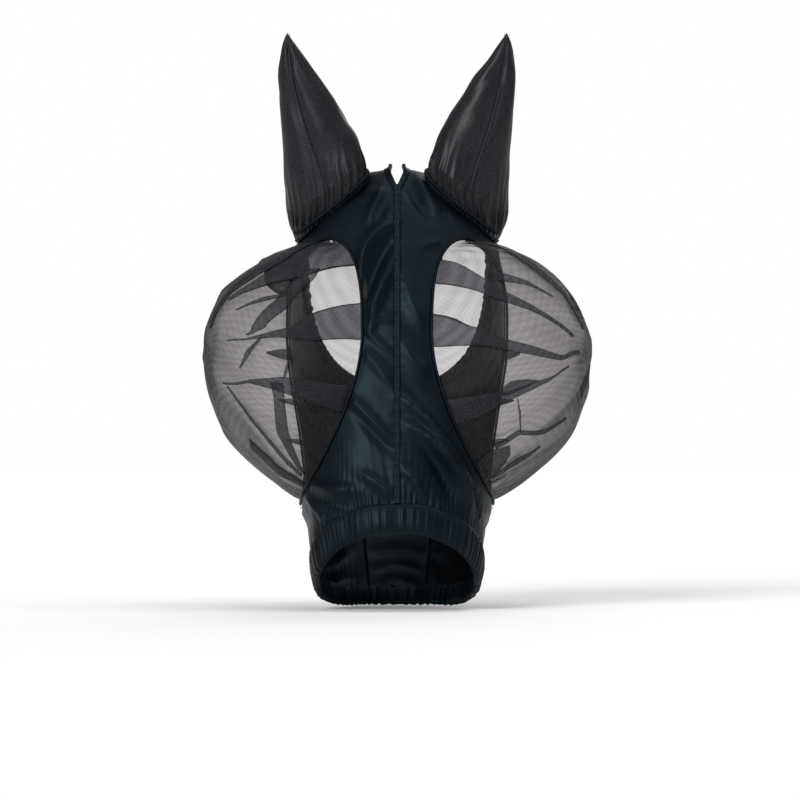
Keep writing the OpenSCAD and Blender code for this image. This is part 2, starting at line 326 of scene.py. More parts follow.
def two_rows(path, normals, pitch, length, radius, apart, lift):
    """A row of stitches on each side of a seam."""
    return merge([stitches(path, normals, pitch, length, radius, 0, side, lift) for side in (-apart, apart)])


def mask_piece(piece, slot, *nodes):
    """Fixes a piece to the mask and hides the CAD nodes it stands in for. The slot argument is not used."""
    if nodes:
        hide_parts(*nodes)
    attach(piece, "mask")


# ---- Materials ----

def new_material(name):
    material = bpy.data.materials.new(name)
    material.use_nodes = True
    material.node_tree.nodes.clear()
    return material, material.node_tree


def feed(tree, socket, value):
    """Sets a socket to a number or a colour, or links another node's output to it."""
    if isinstance(value, bpy.types.NodeSocket):
        tree.links.new(value, socket)
    elif isinstance(value, (tuple, list)):
        socket.default_value = (*value[:3], 1)
    else:
        socket.default_value = value


def mathn(tree, operation, *values):
    node = tree.nodes.new("ShaderNodeMath")
    node.operation = operation
    for socket, value in zip(node.inputs, values):
        feed(tree, socket, value)
    return node.outputs[0]


def mix_colour(tree, factor, a, b):
    node = tree.nodes.new("ShaderNodeMix")
    node.data_type = "RGBA"
    for i, value in ((0, factor), (6, a), (7, b)):
        feed(tree, node.inputs[i], value)
    return node.outputs[2]


def surface(tree, **inputs):
    """A Principled surface; an underscore stands for a space in the names of its inputs."""
    shade = tree.nodes.new("ShaderNodeBsdfPrincipled")
    for name, value in inputs.items():
        feed(tree, shade.inputs[name.replace("_", " ")], value)
    return shade.outputs[0]


def show(tree, shader):
    tree.links.new(shader, tree.nodes.new("ShaderNodeOutputMaterial").inputs[0])


def stripes(tree, source, axis, pitch, tilt=0.0):
    """A 0 to 1 wave across the cloth: source is a vector in millimetres, pitch the spacing."""
    split = tree.nodes.new("ShaderNodeSeparateXYZ")
    tree.links.new(source, split.inputs[0])
    u, v = split.outputs[0], split.outputs[1]
    if axis == "v":
        u, v = v, u
    slanted = mathn(tree, "MULTIPLY_ADD", v, tilt, u)
    angle = mathn(tree, "MULTIPLY", slanted, 2 * math.pi / pitch)
    return mathn(tree, "MULTIPLY_ADD", mathn(tree, "SINE", angle), 0.5, 0.5)


def cloth_coordinates(tree):
    return tree.nodes.new("ShaderNodeUVMap").outputs[0]


def object_coordinates(tree):
    return tree.nodes.new("ShaderNodeTexCoord").outputs["Object"]


def noise_node(tree, scale, detail, source=None, roughness=0.55):
    node = tree.nodes.new("ShaderNodeTexNoise")
    node.inputs["Scale"].default_value = scale
    node.inputs["Detail"].default_value = detail
    node.inputs["Roughness"].default_value = roughness
    if source is not None:
        tree.links.new(source, node.inputs["Vector"])
    return node.outputs["Fac"]


def ramp(tree, source, low, high, a=0.0, b=1.0):
    """The source's range from low to high, stretched to run from a to b."""
    node = tree.nodes.new("ShaderNodeMapRange")
    for socket, value in zip(node.inputs, (source, low, high, a, b)):
        feed(tree, socket, value)
    return node.outputs[0]


def bump(tree, height, strength, distance):
    node = tree.nodes.new("ShaderNodeBump")
    node.inputs["Strength"].default_value = strength
    node.inputs["Distance"].default_value = distance * MM
    tree.links.new(height, node.inputs["Height"])
    return node.outputs[0]


def shaded(colour, times):
    return [c * times for c in colour]


def stretch_cloth(name, colour, sheen_colour, knit=0.9, roughness=0.42):
    """Fine two-way stretch knit: near-black with a teal sheen at a slant, ribbed along its length."""
    material, tree = new_material(name)
    place = object_coordinates(tree)
    uv = cloth_coordinates(tree)
    cloud = noise_node(tree, 28, 4, place)
    fine = noise_node(tree, 900, 2, place)
    knit_height = mathn(tree, "MULTIPLY", stripes(tree, uv, "u", knit), stripes(tree, uv, "v", knit * 1.3))
    dark = mix_colour(tree, ramp(tree, cloud, 0.35, 0.65), colour, shaded(colour, 1.5))
    worn = mix_colour(tree, ramp(tree, fine, 0.62, 0.75, 0, 0.5), dark, shaded(colour, 3))
    rough = ramp(tree, cloud, 0.3, 0.7, roughness - 0.06, roughness + 0.08)
    show(tree, surface(tree, Base_Color=worn, Roughness=rough, Normal=bump(tree, knit_height, 0.35, 0.12),
                       Specular_IOR_Level=0.14, Specular_Tint=(0.5, 0.85, 1.0),
                       Sheen_Weight=0.03, Sheen_Roughness=0.35, Sheen_Tint=sheen_colour))
    return material


def net(name, thread, pass_colour, cover, pitch, moire, painted_sparkle=0.0, roughness=0.55):
    """Open mesh cloth. It lets light through between its threads, less the more it turns edge-on."""
    material, tree = new_material(name)
    uv = cloth_coordinates(tree)
    facing = tree.nodes.new("ShaderNodeLayerWeight")
    facing.inputs[0].default_value = 0.5
    slant = mathn(tree, "MAXIMUM", mathn(tree, "SUBTRACT", 1.0, facing.outputs["Facing"]), 0.12)
    clear = mathn(tree, "POWER", 1 - cover, mathn(tree, "DIVIDE", 1.0, slant))
    weave = mathn(tree, "MULTIPLY",
                  stripes(tree, uv, "u", pitch, 0.55), stripes(tree, uv, "u", pitch, -0.55))
    ripple = mathn(tree, "MULTIPLY", stripes(tree, uv, "u", pitch * 3.1, 0.35), moire)
    texture = mathn(tree, "MULTIPLY_ADD", weave, moire, ripple)
    solid = mathn(tree, "SUBTRACT", 1.0, clear)
    solid = mathn(tree, "ADD", solid, mathn(tree, "SUBTRACT", texture, moire * 0.75))
    solid = mathn(tree, "MINIMUM", mathn(tree, "MAXIMUM", solid, 0.02), 1.0)
    base = mix_colour(tree, ramp(tree, noise_node(tree, 40, 3), 0.35, 0.65), thread, shaded(thread, 1.6))
    # Painted light: brighter diagonal dots where light shows through the holes and off shiny threads, and
    # small painted glints, both stronger in random patches.
    if painted_sparkle:
        dots = ramp(tree, weave, 0.45, 0.85)
        patches = ramp(tree, noise_node(tree, 55, 3), 0.40, 0.62, 0.35, 1.0)
        lit = mathn(tree, "MULTIPLY", dots, patches)
        base = mix_colour(tree, mathn(tree, "MULTIPLY", lit, painted_sparkle), base, (0.040, 0.043, 0.050))
        glints = ramp(tree, noise_node(tree, 800, 2, None, 0.7), 0.60, 0.70)
        glint = mathn(tree, "MULTIPLY", mathn(tree, "MULTIPLY", glints, lit), painted_sparkle)
        base = mix_colour(tree, glint, base, (0.42, 0.43, 0.46))
    threads = surface(tree, Base_Color=base, Roughness=roughness, Specular_IOR_Level=0.2, Sheen_Weight=0.02,
                      Normal=bump(tree, weave, 0.15, 0.2))
    holes = tree.nodes.new("ShaderNodeBsdfTransparent")
    holes.inputs[0].default_value = (*pass_colour, 1)
    mix = tree.nodes.new("ShaderNodeMixShader")
    for socket, source in zip(mix.inputs, (solid, holes.outputs[0], threads)):
        tree.links.new(source, socket)
    show(tree, mix.outputs[0])
    return material


def thread_material(name, colour):
    material, tree = new_material(name)
    fibre = noise_node(tree, 1500, 2)
    show(tree, surface(tree, Base_Color=mix_colour(tree, fibre, colour, shaded(colour, 2.2)), Roughness=0.45,
                       Specular_IOR_Level=0.25, Normal=bump(tree, fibre, 0.4, 0.15)))
    return material


def elastic_material(name, colour):
    material, tree = new_material(name)
    fibre = noise_node(tree, 700, 3, object_coordinates(tree))
    show(tree, surface(tree, Base_Color=mix_colour(tree, fibre, colour, shaded(colour, 1.8)), Roughness=0.75,
                       Normal=bump(tree, fibre, 0.6, 0.3)))
    return material


def floor_material(name, colour, roughness):
    material, tree = new_material(name)
    show(tree, surface(tree, Base_Color=colour, Roughness=roughness))
    return material


NAVY = (0.0018, 0.0030, 0.0046)
TEAL = (0.25, 0.55, 0.75)
LYCRA = stretch_cloth("stretch_cloth", NAVY, TEAL)
BINDING = stretch_cloth("binding_cloth", shaded(NAVY, 0.8), TEAL, 0.7, 0.45)
EYE_NET = net("eye_net", (0.012, 0.012, 0.013), (1.0, 0.97, 0.98), 0.44, 1.8, 0.07)
PLEATED_NET = net("eye_net_pleated", (0.010, 0.011, 0.013), (0.95, 0.98, 1.0), 0.55, 1.8, 0.07)
# In the ear nets the next-to-last number is the strength of their painted sparkle, which is painted light in
# dots and glints.
EAR_NET = net("ear_net", (0.003, 0.0034, 0.0048), (0.7, 0.7, 0.75), 0.94, 2.3, 0.04, 1.0, 0.40)
SKIRT_NET = net("ear_net_gathered", (0.0026, 0.003, 0.0042), (0.7, 0.7, 0.75), 0.985, 2.3, 0.01, 0.5, 0.45)
THREAD = thread_material("seam_thread", (0.006, 0.0085, 0.012))
ELASTIC = elastic_material("elastic", (0.02, 0.02, 0.023))


# ---- Folds in the cloth ----

def curve_points(path, count=28):
    """A smooth run of points through a short list of places."""
    path = np.asarray(path, float)
    if len(path) == 2:
        return path[0] + (path[1] - path[0]) * np.linspace(0, 1, count)[:, None]
    at = np.concatenate([[0], np.cumsum(np.linalg.norm(np.diff(path, axis=0), axis=1))])
    wanted = np.linspace(0, at[-1], count)
    flat = np.stack([np.interp(wanted, at, path[:, k]) for k in range(path.shape[1])], -1)
    for _ in range(6):
        flat[1:-1] = (flat[:-2] + 2 * flat[1:-1] + flat[2:]) / 4
    return flat


def ridge_along(places, line, width, height, steep=1.0):
    """Lift of a fold along a line, at flat places. A steep fold drops off sharply on one side."""
    d = places[..., None, :] - line
    distance2 = (d ** 2).sum(-1)
    near = distance2.argmin(-1)
    reach = np.sqrt(np.take_along_axis(distance2, near[..., None], -1)[..., 0])
    along = np.gradient(line, axis=0)[near]
    gap = np.take_along_axis(d, near[..., None, None], -2)[..., 0, :]
    side = along[..., 0] * gap[..., 1] - along[..., 1] * gap[..., 0]
    spread = np.where(side > 0, width / steep, width)
    taper = np.sin(np.pi * np.clip((near + 1) / (len(line) + 1), 0, 1)) ** 0.7
    return height * np.exp(-(reach / spread) ** 2) * taper


# Folds of the face cloth as seen from in front: path of (x, z), width, height, steepness.
FACE_FOLDS = [
    ([(-8, 418), (-20, 398), (-29, 376)], 5, 2.2, 1.6),
    ([(0, 394), (-8, 386), (-12, 378)], 4, 1.4, 1.0),
    ([(2, 379), (-22, 364), (-34, 340), (-39, 312), (-41, 290)], 8, 4.2, 2.4),
    ([(-1, 366), (-17, 342), (-26, 318), (-38, 292)], 6, -2.6, 1.0),
    ([(-2, 342), (-12, 318), (-21, 296), (-27, 266)], 8, 3.0, 1.8),
    ([(-40, 280), (-24, 263), (-5, 246)], 3, 2.0, 2.0),
    ([(-36, 252), (-20, 236), (-4, 214)], 6, 1.6, 1.4),
    ([(-34, 300), (-20, 282), (-2, 276)], 4, 1.2, 1.0),
    ([(10, 414), (22, 398), (36, 378)], 5, -2.0, 1.0),
    ([(20, 424), (30, 402), (42, 384)], 6, 2.2, 1.6),
    ([(24, 354), (34, 356), (43, 358)], 3, 1.2, 1.0),
    ([(6, 330), (14, 300), (26, 276)], 7, 1.8, 1.4),
    ([(4, 262), (16, 240), (30, 226)], 6, 1.5, 1.3),
    ([(-46, 196), (-26, 172), (-3, 148)], 5, -2.6, 1.0),
    ([(-52, 208), (-32, 186), (-6, 158)], 7, 2.4, 1.6),
    ([(-36, 130), (-18, 118), (-2, 104)], 6, 2.0, 1.8),
    ([(-86, 118), (-64, 112), (-40, 112)], 8, 3.0, 1.6),
    ([(-76, 98), (-60, 88), (-42, 84)], 6, 2.0, 1.4),
    ([(-96, 116), (-78, 92), (-64, 74)], 5, 2.2, 1.4),
    ([(4, 204), (26, 190), (44, 168), (60, 140), (78, 112)], 7, 4.6, 2.2),
    ([(10, 178), (34, 162), (52, 140), (68, 116), (82, 84)], 6, 5.2, 2.4),
    ([(26, 156), (44, 132), (54, 108), (58, 88)], 7, -3.0, 1.0),
    ([(4, 136), (18, 122), (28, 104)], 5, 2.2, 1.6),
    ([(14, 204), (36, 182), (56, 150)], 4, -2.2, 1.0),
    ([(66, 130), (76, 104), (82, 80)], 5, -2.4, 1.0),
]


def gathers(distance, round_mm, seed, reach=24.0, height=1.3, pitch=8.0):
    """Small pleats that run away from a gathered edge and fade out; distance is from the edge."""
    drift = 2.2 * noise2(round_mm / 31, distance / 60, seed)
    wave = np.sin(2 * np.pi * round_mm / pitch + 2.5 * drift)
    wave += 0.5 * np.sin(2 * np.pi * round_mm / (pitch * 0.58) + 4.1 * drift + 1.0)
    uneven = 0.65 + 0.5 * noise2(round_mm / 19, distance / 25, seed + 1)
    return height * wave * uneven * np.exp(-np.maximum(distance, 0) / reach)


def side_folds(turn, t, side):
    """Soft slanting folds over the cheek and jaw, where the cloth is pulled from the poll to the chin."""
    slant = math.radians(24)
    across, along = turn * ROUND_MM, t * FACE_LENGTH
    run = across * math.cos(slant) + along * math.sin(slant)
    rise = along * math.cos(slant) - across * math.sin(slant)
    broad = noise2(run / 70 + 11 * side, rise / 26 + 5, 44)
    fine = noise2(run / 46 + 3 * side, rise / 11 + 9, 45)
    return 2.6 * (0.45 - np.abs(broad) * 1.6) + 0.7 * (0.4 - np.abs(fine))


FOLD_DEPTH = 2.3


def crown_rise(t, x):
    """Extra height of the crown beside the forelock slit."""
    return 5.0 * np.exp(-(x / 24) ** 2 - ((t - 0.83) / 0.05) ** 2)


def cloth_lift(points, t, a, side):
    """How far the cloth stands off its smooth shape, in millimetres."""
    view = np.stack([points[..., 0] * side, points[..., 2]], -1)
    turn = 180 - np.abs(180 - np.abs(a))
    front = smooth((115 - turn) / 40)
    lift = np.zeros(t.shape)
    for path, width, height, steep in FACE_FOLDS:
        lift += FOLD_DEPTH * ridge_along(view, curve_points(path), width, height, steep) * front
    round_mm = a * ROUND_MM * side
    along_mm = t * FACE_LENGTH
    lift += 1.3 * noise2(round_mm / 34 + 7, along_mm / 46, 5) * smooth((turn - 4) / 12)
    lift += 0.55 * noise2(round_mm / 13 + along_mm / 22, along_mm / 30, 6)
    lift += gathers(along_mm - NOSE_HEM_TOP * FACE_LENGTH, round_mm, 11)
    lift += gathers(NECK_HEM_TOP * FACE_LENGTH - along_mm, round_mm, 21, 18, 1.1, 9)
    lift += side_folds(turn, t, side * np.sign(a)) * smooth((turn - 62) / 30)
    foot = np.abs(ear_size(t, turn) - EAR_FOOT) * 45
    ring = np.degrees(np.arctan2(t - EAR_MID, (turn - EAR_ANGLE) / EAR_SPAN * EAR_REACH))
    lift += gathers(foot, ring * 1.1, 31, 9, 0.7, 8)
    pucker = np.exp(-(view[..., 0] / 7) ** 2) * smooth((SLIT_START - t) / 0.03) * (turn < 40)
    lift += 0.5 * pucker * np.sin(along_mm * 2 * np.pi / 9 + 3 * noise2(along_mm / 30, t * 0, 41))
    settle = smooth((eye_size(t, turn) - 1.0) / 0.10)
    sewn = smooth(np.abs(turn - JAW_ANGLE) / 8)
    by_slit = smooth((t - SLIT_START + 0.02) / 0.02) * smooth((20 - np.abs(view[..., 0])) / 10)
    slit = 1 - 0.8 * by_slit * (turn < 40)
    rise = crown_rise(t, view[..., 0]) * (turn < 60)
    return lift * (0.25 + 0.75 * settle) * sewn * slit + rise


def on_cloth(t, a, side, lift):
    """Points above the outside of the folded cloth on one side of the mask, and the ways up from them."""
    points = off_skin(t, a, CLOTH + lift + cloth_lift(skin(t, a), t, a, side))
    return points * [side, 1, 1], skin_normal(t, a) * [side, 1, 1]


# ---- Stretch cloth panels ----

# How near an opening's outline, in parts of its size, a cut edge is moved on to the outline.
OUTLINES = ((eye_size, 1.0, EYE_MID, EYE_ANGLE, 0.06), (ear_size, EAR_FOOT, EAR_MID, EAR_ANGLE, 0.13))


def cut_openings(t, a, faces):
    """Takes the faces in the eye, ear and slit openings out, and moves the cut edges on to the outlines."""
    middle_t, middle_a = t[faces].mean(1), a[faces].mean(1)
    inside = (middle_t > SLIT_START) & (middle_t < SLIT_END) & (np.abs(middle_a) < 30)
    inside &= np.abs(skin(middle_t, middle_a)[:, 0]) < slit_width(middle_t)
    for measure, size, *_ in OUTLINES:
        inside |= measure(middle_t, middle_a) < size
    dropped, kept = np.zeros(t.size, bool), np.zeros(t.size, bool)
    dropped[faces[inside]] = True
    faces = faces[~inside]
    kept[faces] = True
    edge = dropped & kept
    t, a = t.copy(), a.copy()
    for measure, size, mid_t, mid_a, near in OUTLINES:
        now = measure(t, a)
        move = edge & (np.abs(now - size) < near)
        t[move] = mid_t + (t[move] - mid_t) * size / now[move]
        a[move] = mid_a + (a[move] - mid_a) * size / now[move]
    slit = edge & (t > SLIT_START - 0.01) & (np.abs(a) < 12) & (ear_size(t, a) > EAR_FOOT + 0.1)
    a[slit] = angle_at(t[slit], slit_width(t[slit]) + 0.3)
    return t, a, faces


def skin_panel(name, places, angles, side, cut=True):
    """One panel of cloth over part of the head."""
    t, a = np.meshgrid(places, angles, indexing="ij")
    faces = np.array(grid_faces(*t.shape))
    t, a = t.ravel(), a.ravel()
    if cut:
        t, a, faces = cut_openings(t, a, faces)
    points, _ = on_cloth(t, a, side, -CLOTH)
    uv = np.stack([a * ROUND_MM, t * FACE_LENGTH], -1)
    used = np.unique(faces)
    index = np.zeros(len(points), int)
    index[used] = np.arange(len(used))
    piece = make_mesh(name, points[used], index[faces].tolist(), uv[used], LYCRA, flip=side < 0)
    return add_thickness(piece, CLOTH)


def steps(low, high, size):
    return np.linspace(low, high, max(2, int(round((high - low) / size)) + 1))


TIGHT_T, TIGHT_A = 0.0058, 1.15
PANEL_START, PANEL_END = NOSE_HEM_TOP - 0.006, NECK_HEM_TOP + 0.004


def build_panels():
    for name, side in SIDES.items():
        face = skin_panel(f"face_cloth_{name}", steps(PANEL_START, SLIT_END, TIGHT_T),
                          steps(0, EYE_ANGLE, TIGHT_A), side)
        mask_piece(face, "stretch_cloth", f"face_panel_{name}")
        cheek = skin_panel(f"cheek_cloth_{name}", steps(PANEL_START, PANEL_END, TIGHT_T * 1.15),
                           steps(EYE_ANGLE, JAW_ANGLE, TIGHT_A * 1.2), side)
        mask_piece(cheek, "stretch_cloth", f"cheek_panel_{name}")
    jaw = skin_panel("jaw_cloth", steps(PANEL_START, PANEL_END, 0.008),
                     steps(JAW_ANGLE, 360 - JAW_ANGLE, 2), 1, cut=False)
    mask_piece(jaw, "stretch_cloth", "jaw_panel")
    poll = skin_panel("poll_cloth", steps(SLIT_END, PANEL_END, TIGHT_T),
                      steps(-EYE_ANGLE, EYE_ANGLE, TIGHT_A), 1, cut=False)
    mask_piece(poll, "stretch_cloth", "poll_panel")


build_panels()


# ---- Hems ----

RING_TURNS = turns_round(540)
HEM_HALF = 2.9
HEM_PITCH = 7.5


def hem_ring(places, lifts, seed, height, spread):
    """A ring of cloth round the mask, through a profile of places and lifts and ruffled at its edge."""
    places, lifts = np.asarray(places, float)[:, None], np.asarray(lifts, float)[:, None]
    a = np.broadcast_to(RING_TURNS, (len(places), len(RING_TURNS)))
    t = np.broadcast_to(places, a.shape)
    round_mm = RING_TURNS * ROUND_MM * 0.78
    ruffle = gathers(np.zeros_like(round_mm), round_mm, seed, 20, height, HEM_PITCH)
    drift = 0.0016 * noise2(round_mm / 23, round_mm * 0, seed + 3)
    points = off_skin(t + drift, a, lifts + ruffle * spread(places))
    return points, np.stack([np.broadcast_to(round_mm, a.shape), t * FACE_LENGTH], -1)


def close_ring(name, points, uv, material, flip):
    rows, cols = points.shape[:2]
    faces = [[i % (rows * cols) for i in f] for f in grid_faces(rows + 1, cols, wrap=True)]
    return make_mesh(name, points, faces, uv, material, flip)


def build_hem(name, fold, open_edge, seed):
    """A folded casing, gathered by the elastic inside it, with two rows of stitching."""
    sign, half = (1 if open_edge > fold else -1), HEM_HALF
    outer = [open_edge, open_edge - sign * 0.004, (open_edge * 2 + fold) / 3, (open_edge + fold * 2) / 3,
             fold + sign * 0.004, fold, fold - sign * 0.005]
    outer_lift = [1.6, half, half + 0.8, half + 0.9, half + 0.4, half - 0.6, 0]
    lining = [open_edge, open_edge - sign * 0.002, fold + sign * 0.006]
    lining_lift = [-1.0, CLOTH - half, CLOTH - half]
    places = outer + outer[-2::-1] + lining + [fold + sign * 0.002] + lining[::-1]
    lifts = outer_lift + [-v for v in outer_lift[-2::-1]]
    lifts += lining_lift + [0] + [-v for v in lining_lift[::-1]]
    spread = lambda p: 0.35 + 0.65 * smooth((open_edge - p) * sign / 0.02)
    casing = close_ring(name + "_hem_cloth", *hem_ring(places, lifts, seed, 1.0, spread), BINDING, sign > 0)
    mask_piece(casing, "binding_cloth", name + "_casing")
    rows = []
    for place in (open_edge - sign * 0.007, open_edge - sign * 0.0135):
        lift = np.interp(sign * place, sign * np.array(outer[::-1]), outer_lift[::-1]) + 0.1
        path = hem_ring([place], [lift], seed, 1.0, spread)[0][0]
        up = skin_normal(np.full(len(RING_TURNS), place), RING_TURNS)
        rows.append(stitches(path, up, 3.2, 2.3, 0.3, closed=True))
    mask_piece(make_mesh(name + "_hem_stitches", *merge(rows), None, THREAD), "seam_thread")
    low, high = fold + sign * 0.006, fold + sign * 0.045
    band = hem_ring([low, high, high, low], [0.75, 0.75, -0.75, -0.75], seed, 0.5, np.ones_like)
    elastic = close_ring(name + "_hem_elastic", *band, ELASTIC, sign < 0)
    mask_piece(elastic, "elastic", name + "_elastic")


build_hem("nose", 0.003, NOSE_HEM_TOP + 0.002, 51)
build_hem("neck", 0.997, NECK_HEM_TOP - 0.002, 61)


# ---- Eye domes ----

DOME_OUT = unit(np.array([1, -0.25, 0.17]))
DOME_FOOT = 0.978
DOME_BULGE = 96.0
EYE_RADIUS = 115.0
PLEAT_DEPTH = 3.0

# Gathered pleats of each eye net: the two edges of each as (size, turn) places, from the rim inward.
PLEATS = {
    "left": [
        ([(1.01, 100), (0.8, 75), (0.6, 64), (0.4, 60), (0.2, 60)],
         [(1.01, 60), (0.8, 43), (0.6, 41), (0.4, 46), (0.2, 46)]),
        ([(1.01, 57), (0.8, 41), (0.6, 38), (0.42, 42)], [(1.01, 24), (0.8, 21), (0.6, 28), (0.42, 38)]),
        ([(0.86, 26), (0.79, 21), (0.7, 12), (0.6, 5), (0.5, -3)],
         [(0.9, 24), (0.87, 18), (0.8, 11), (0.74, 4), (0.52, -4)]),
        ([(0.8, 12), (0.62, 17), (0.44, 19)], [(0.8, 11.5), (0.62, 13), (0.44, 18)]),
        ([(1.01, 6), (0.85, 2), (0.72, -2), (0.5, -7), (0.34, -3)],
         [(1.01, -5), (0.85, -9), (0.72, -8), (0.5, -8.5), (0.34, -5)]),
        ([(0.62, -7), (0.56, -18), (0.49, -35)], [(0.6, -7), (0.51, -18), (0.48, -35)]),
        ([(0.775, -19), (0.778, -26), (0.775, -32)], [(0.773, -19), (0.762, -26), (0.762, -32)]),
        ([(1.01, -28), (0.77, -31), (0.57, -41), (0.36, -60)],
         [(1.01, -41), (0.77, -40), (0.57, -44), (0.36, -63)]),
        ([(0.7, -37), (0.74, -45), (0.8, -66), (0.93, -83)],
         [(0.77, -35), (0.79, -42), (0.85, -61), (0.96, -84)]),
        ([(0.95, -88), (0.75, -77), (0.6, -70), (0.4, -63)],
         [(0.95, -85), (0.76, -74), (0.61, -67), (0.4, -61)]),
        ([(0.97, -91), (0.82, -92), (0.66, -94)], [(0.97, -98), (0.85, -103), (0.7, -104)]),
    ],
    "right": [
        ([(1.01, 68), (0.8, 60), (0.6, 55), (0.4, 50), (0.2, 45)],
         [(1.01, 60), (0.8, 50), (0.6, 46), (0.4, 42), (0.2, 38)]),
        ([(0.84, 24), (0.78, 26), (0.68, 27), (0.5, 29)], [(0.84, 23), (0.8, 18.5), (0.7, 22), (0.5, 28)]),
        ([(1.01, 31), (0.88, 20), (0.79, 14), (0.58, 8), (0.38, 8), (0.27, 5)],
         [(1.01, 14), (0.89, 11), (0.8, 7.5), (0.6, 5.5), (0.4, 4), (0.28, 2)]),
        ([(1.01, 3), (0.87, -1), (0.78, -8), (0.58, -15), (0.38, -24), (0.2, -12)],
         [(1.01, -9), (0.87, -11), (0.78, -15), (0.58, -22), (0.38, -30), (0.2, -22)]),
        ([(1.01, -34), (0.87, -37), (0.78, -40), (0.64, -40), (0.48, -42), (0.33, -38)],
         [(1.01, -48), (0.87, -47), (0.8, -45), (0.7, -45), (0.52, -45), (0.33, -41)]),
        ([(0.84, -38), (0.76, -34), (0.68, -36), (0.6, -40)],
         [(0.84, -41), (0.76, -42), (0.69, -41.5), (0.6, -41)]),
        ([(0.745, -44), (0.744, -56), (0.77, -69)], [(0.747, -44), (0.757, -56), (0.773, -69)]),
        ([(1.01, -74), (0.92, -69), (0.84, -72)], [(1.01, -90), (0.92, -89), (0.85, -80)]),
        ([(0.9, -66), (0.79, -65), (0.66, -80), (0.48, -96)],
         [(0.9, -70), (0.79, -69), (0.67, -84), (0.49, -99)]),
        ([(0.95, -88), (0.84, -88), (0.7, -92)], [(0.95, -90), (0.84, -94), (0.7, -94)]),
    ],
}
REAR_PLEATS = [
    ([(1.01, 112), (0.98, 114), (0.95, 117)], [(1.01, 120), (0.98, 119), (0.95, 118)]),
    ([(1.01, 138), (0.98, 140), (0.95, 143)], [(1.01, 146), (0.98, 145), (0.95, 144)]),
    ([(1.01, 166), (0.98, 168), (0.95, 170)], [(1.01, 173), (0.98, 172), (0.95, 171)]),
    ([(1.01, 198), (0.98, 197), (0.95, 195)], [(1.01, 204), (0.98, 200), (0.95, 196)]),
]


# How full the net is round its rim: name of the side, then (turn, spread, change) in degrees and parts.
FULLNESS = {
    "left": [(105, 36, -0.17), (255, 45, 0.24), (20, 30, 0.05)],
    "right": [(95, 35, -0.02), (262, 45, 0.28), (20, 30, 0.05)],
}


def dome_point(size, p, name, lift=0.0):
    """A point on an eye net: size 0 at its middle and 1 at its rim, p round it as in eye_edge."""
    size, p = np.broadcast_arrays(np.asarray(size, float), np.asarray(p, float))
    t, a = eye_edge(p, size)
    flatness = np.full(size.shape, 0.62)
    for turn, spread, change in FULLNESS[name]:
        flatness += change * np.exp(-(((p - turn + 180) % 360 - 180) / spread) ** 2) * smooth(size / 0.4)
    height = DOME_BULGE * np.clip(1 - (size / DOME_FOOT) ** 2, 0, 1) ** flatness
    points = off_skin(t, a, lift - 1.2) + height[..., None] * DOME_OUT
    points[..., 0] *= SIDES[name]
    return points


def dome_plan(places):
    """Flat millimetre places, measured from the middle of the net, for (size, turn) pairs."""
    size, turn = places[..., 0], np.radians(places[..., 1])
    return EYE_RADIUS * size[..., None] * np.stack([np.cos(turn), np.sin(turn)], -1)


def dome_lift(size, p, name):
    """How far the net stands off its smooth dome: sunk under pleats, puffed and creased between them."""
    plan = dome_plan(np.stack([size, p], -1))
    lift = np.zeros(size.shape)
    for upper, lower in PLEATS[name] + REAR_PLEATS:
        upper, lower = dome_plan(curve_points(upper)), dome_plan(curve_points(lower))
        width = np.linalg.norm(upper - lower, axis=1).mean() / 2 + 4
        lift -= ridge_along(plan, (upper + lower) / 2, width, PLEAT_DEPTH)
    seed = 71 if name == "left" else 75
    free = smooth((DOME_FOOT - size) / 0.12)
    lift += 2.6 * noise2(plan[..., 0] / 38 + 20, plan[..., 1] / 38 + 20, seed) * free
    crease = np.abs(noise2(plan[..., 0] / 27 + 9, plan[..., 1] / 27 + 9, seed + 1))
    lift += 1.6 * (1 - 2 * crease) * free
    drift = 3 * noise2(p / 12, size * 3, seed + 2)
    radial = np.sin(np.radians(p) * 42 + drift) * np.exp(-np.maximum(DOME_FOOT - size, 0) / 0.06)
    return lift + 0.9 * radial * smooth((DOME_FOOT - size) / 0.03)


def dome_surface(size, p, name, lift=0.0):
    """Points on the finished net, and the directions outward from it."""
    step_s, step_p = 0.004, 0.7
    smooth_points = dome_point(size, p, name)
    along = dome_point(size + step_s, p, name) - dome_point(size - step_s, p, name)
    across = dome_point(size, p + step_p, name) - dome_point(size, p - step_p, name)
    normal = unit(np.cross(across, along)) * SIDES[name]
    stand = dome_lift(size, p, name) + lift
    return smooth_points + stand[..., None] * normal, normal


def dome_sheet(name):
    sizes = np.concatenate([np.linspace(0.02, 0.80, 52), np.linspace(0.812, 0.97, 22),
                            [0.978, 0.99, 1.01, 1.035, 1.06]])
    size, turn = np.meshgrid(sizes, turns_round(320), indexing="ij")
    points, _ = dome_surface(size, turn, name)
    rows, cols = size.shape
    faces = grid_faces(rows, cols, wrap=True) + [list(range(cols))]
    return points, faces, dome_plan(np.stack([size, turn], -1))


# Across a pleat and back under it: how far from its upper edge to its lower, and how high.
PLEAT_PROFILE = [(0.0, 1.3), (0.06, 2.2), (0.3, 2.4), (0.7, 2.4), (0.94, 2.2),
                 (1.0, 1.3), (0.94, 0.7), (0.7, 0.8), (0.3, 0.8), (0.06, 0.7)]


